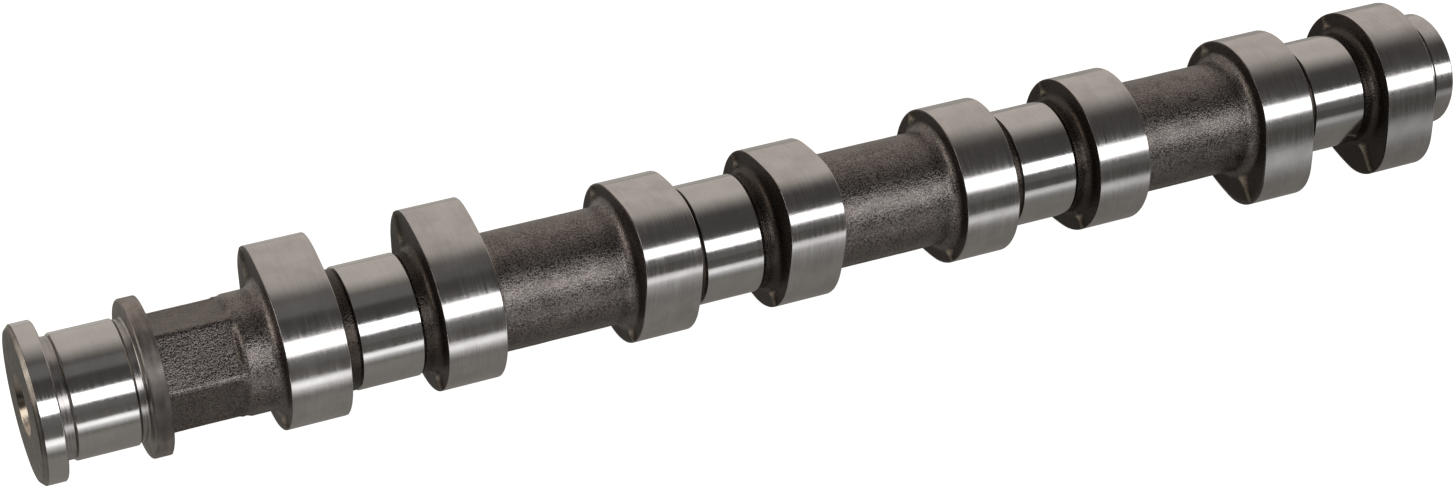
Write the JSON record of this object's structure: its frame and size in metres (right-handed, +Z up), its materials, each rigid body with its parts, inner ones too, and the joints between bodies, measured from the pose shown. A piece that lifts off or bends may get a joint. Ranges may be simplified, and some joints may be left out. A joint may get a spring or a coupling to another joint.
{
  "type": "camshaft",
  "caption": "One-piece cast camshaft with ground journals, paired cam lobes, a drive flange, a thrust collar and a wrench hexagon.",
  "frame": {"origin": "centre of the drive face, where the bolt hole opens", "axes": "+X along the shaft from the drive face to the tail, +Z up as it lies on its cams"},
  "size_m": [0.3564, 0.0396, 0.0396],
  "materials": {
    "iron": "satin ground journals and cam rims, rough dark cast surfaces in between"
  },
  "bodies": {
    "root": {"camshaft": "iron"}
  },
  "joints": []
}
